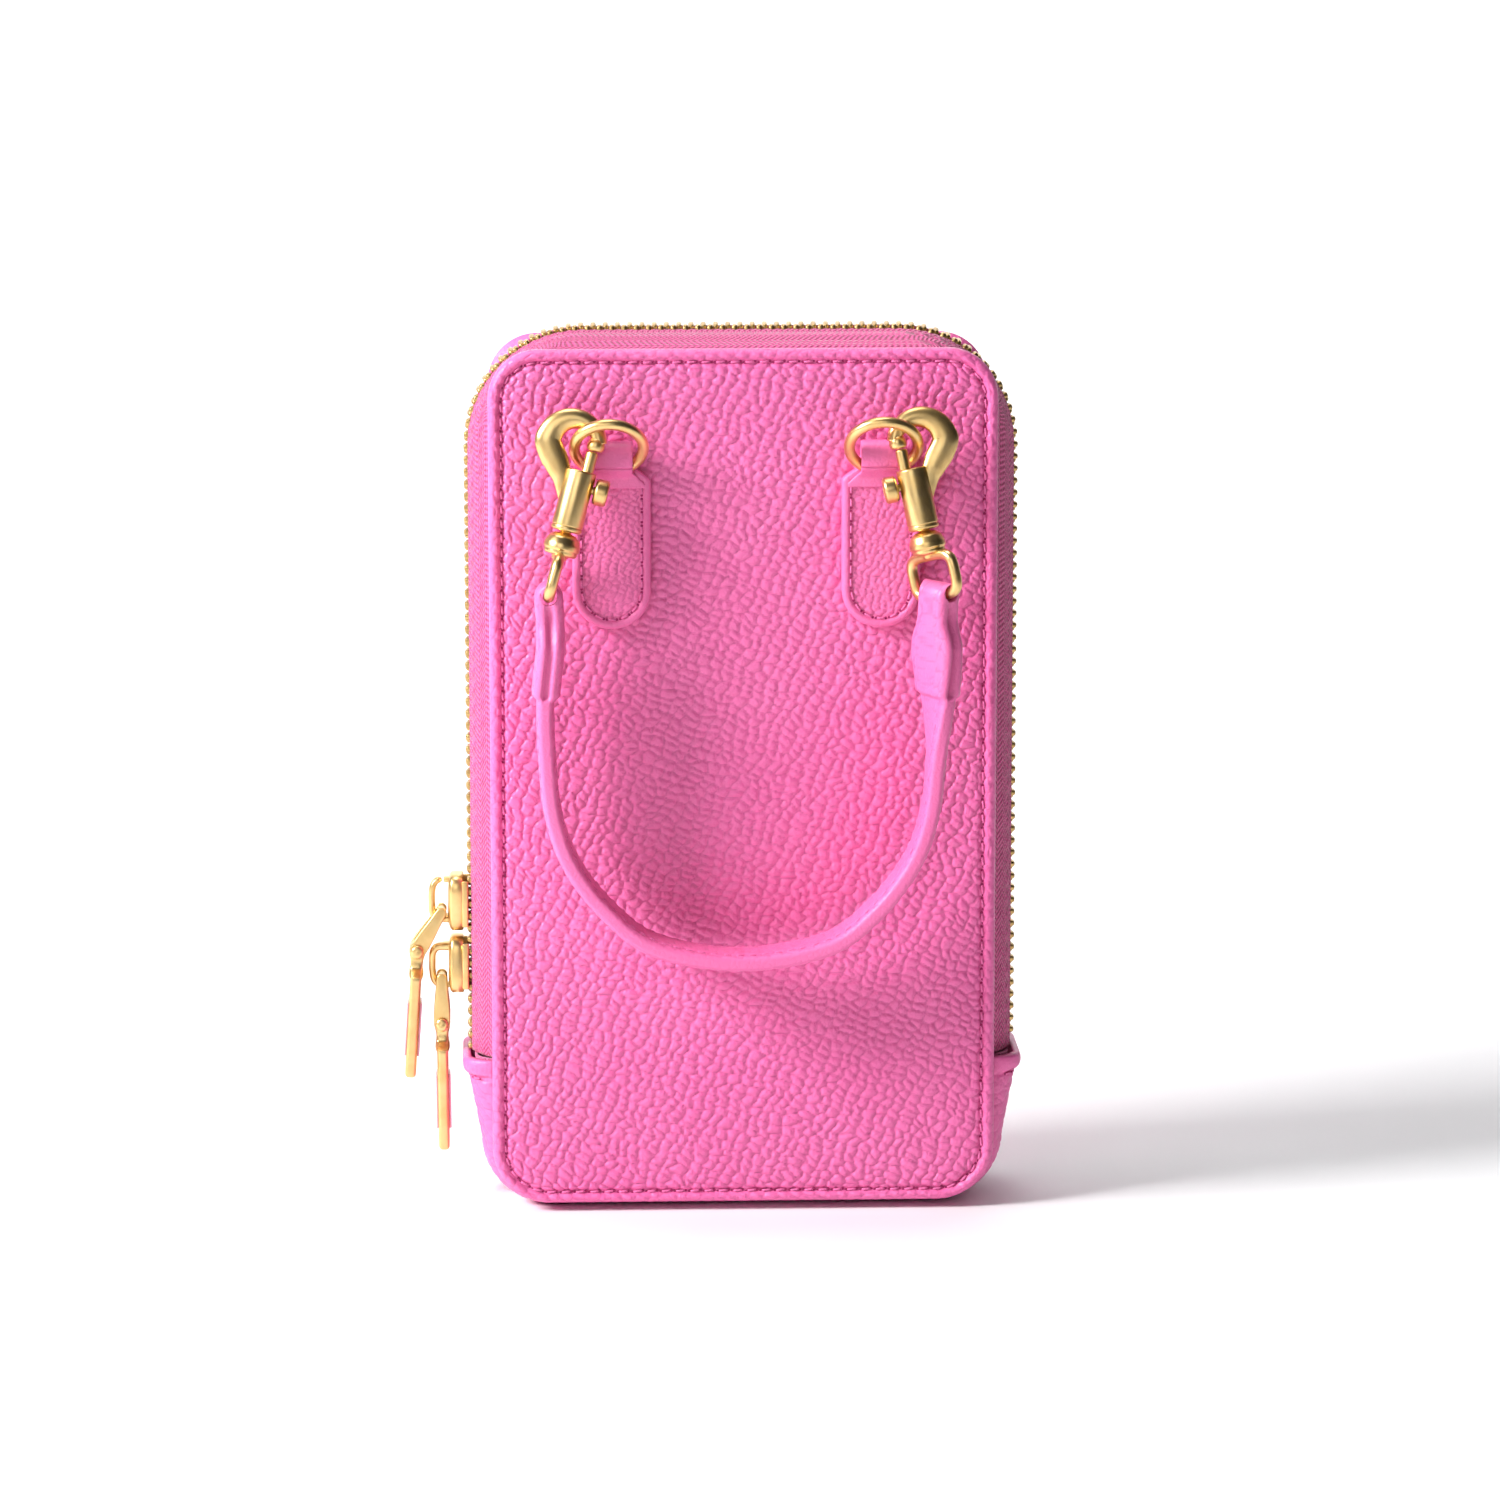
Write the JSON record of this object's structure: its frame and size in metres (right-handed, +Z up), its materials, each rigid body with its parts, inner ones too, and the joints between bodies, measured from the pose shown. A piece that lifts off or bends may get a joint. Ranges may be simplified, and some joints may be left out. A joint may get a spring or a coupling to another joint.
{
  "type": "wristlet wallet",
  "caption": "Zip-around leather phone wallet with a front cover that opens on a lower gusset and a short wrist strap on snap hooks.",
  "frame": {"origin": "centre of the base, on the surface the wallet stands on", "axes": "+Z up along the wallet's height, -Y out of the front panel that carries the strap, +X to the right seen from the front"},
  "size_m": [0.1293, 0.053, 0.1851],
  "materials": {
    "leather": "pebbled",
    "strap_leather": "pebbled, smooth painted edge",
    "zip_tape": "woven",
    "lining": "woven",
    "board": "pressed fibre board",
    "hardware": "satin gold plate",
    "teeth": "satin",
    "spring_steel": "plain",
    "inlay": "enamel"
  },
  "bodies": {
    "case": {"back_panel": "leather", "back_board": "board", "back_lining": "lining", "back_zip_tape": "zip_tape", "back_teeth": "teeth", "lower_gusset": "leather", "gusset_lining": "lining", "back_card_pocket": "lining", "middle_card_pocket": "lining", "front_card_pocket": "lining"},
    "front_cover": {"front_panel": "leather", "front_board": "board", "front_lining": "lining", "front_zip_tape": "zip_tape", "front_teeth": "teeth", "phone_pocket": "lining", "left_ring_tab": "leather", "right_ring_tab": "leather"},
    "left_ring": {"left_ring": "hardware"},
    "right_ring": {"right_ring": "hardware"},
    "handle": {"wrist_strap": "strap_leather", "left_hook": "hardware", "right_hook": "hardware", "left_bolt_spring": "spring_steel", "right_bolt_spring": "spring_steel"},
    "left_bolt": {"left_bolt": "hardware"},
    "right_bolt": {"right_bolt": "hardware"},
    "left_swivel": {"left_swivel": "hardware"},
    "right_swivel": {"right_swivel": "hardware"},
    "upper_slider": {"upper_slider": "hardware"},
    "lower_slider": {"lower_slider": "hardware"},
    "upper_link": {"upper_pull_link": "hardware"},
    "lower_link": {"lower_pull_link": "hardware"},
    "upper_pull": {"upper_pull_bar": "hardware", "upper_pull_inlay": "inlay", "upper_pull_rivet": "hardware"},
    "lower_pull": {"lower_pull_bar": "hardware", "lower_pull_inlay": "inlay", "lower_pull_rivet": "hardware"}
  },
  "joints": [
    {"name": "cover_open", "type": "hinge", "parent": "case", "child": "front_cover", "pos_m": [0, -0.0143, 0.0026], "axis": [1, 0, 0], "range_deg": [0, 30]},
    {"name": "left_ring_swing", "type": "hinge", "parent": "front_cover", "child": "left_ring", "pos_m": [-0.0278, -0.0193, 0.1568], "axis": [1, 0, 0], "range_deg": [-4, 0]},
    {"name": "right_ring_swing", "type": "hinge", "parent": "front_cover", "child": "right_ring", "pos_m": [0.0284, -0.0193, 0.1568], "axis": [1, 0, 0], "range_deg": [-4, 0]},
    {"name": "handle_swing", "type": "hinge", "parent": "left_ring", "child": "handle", "pos_m": [0, -0.025, 0.1645], "axis": [-1, 0, 0], "range_deg": [0, 70]},
    {"name": "left_bolt_slide", "type": "slide", "parent": "handle", "child": "left_bolt", "axis": [-0.2588, -0.1344, -0.9565], "range_m": [0, 0.0034], "stiffness_N_per_m": 250, "springref_m": -0.004, "deforming": ["left_bolt_spring"]},
    {"name": "right_bolt_slide", "type": "slide", "parent": "handle", "child": "right_bolt", "axis": [0.2079, -0.1361, -0.9686], "range_m": [0, 0.0034], "stiffness_N_per_m": 250, "springref_m": -0.004, "deforming": ["right_bolt_spring"]},
    {"name": "left_swivel_turn", "type": "hinge", "parent": "handle", "child": "left_swivel", "pos_m": [-0.0367, -0.02734, 0.14558], "axis": [0.2588, 0.1344, 0.9565], "range_deg": [-5, 5]},
    {"name": "right_swivel_turn", "type": "hinge", "parent": "handle", "child": "right_swivel", "pos_m": [0.03651, -0.02734, 0.14552], "axis": [-0.2079, 0.1361, 0.9686], "range_deg": [-5, 5]},
    {"name": "upper_slider_slide", "type": "slide", "parent": "case", "child": "upper_slider", "axis": [0, 0, 1], "range_m": [0, 0.08]},
    {"name": "lower_slider_slide", "type": "slide", "parent": "case", "child": "lower_slider", "axis": [0, 0, 1], "range_m": [-0.008, 0]},
    {"name": "upper_link_swing", "type": "hinge", "parent": "upper_slider", "child": "upper_link", "pos_m": [-0.063, 0, 0.0613], "axis": [0, 1, 0], "range_deg": [0, 100]},
    {"name": "upper_pull_swing", "type": "hinge", "parent": "upper_link", "child": "upper_pull", "pos_m": [-0.06804, 0, 0.05313], "axis": [0, 1, 0], "range_deg": [0, 60]},
    {"name": "lower_link_swing", "type": "hinge", "parent": "lower_slider", "child": "lower_link", "pos_m": [-0.063, 0, 0.0471], "axis": [0, 1, 0], "range_deg": [0, 6]},
    {"name": "lower_pull_swing", "type": "hinge", "parent": "lower_link", "child": "lower_pull", "pos_m": [-0.063, 0, 0.0375], "axis": [0, 1, 0], "range_deg": [-3, 3]}
  ],
  "couplings": [
    {"joint": "right_ring_swing", "follows": "left_ring_swing", "ratio": 1}
  ]
}
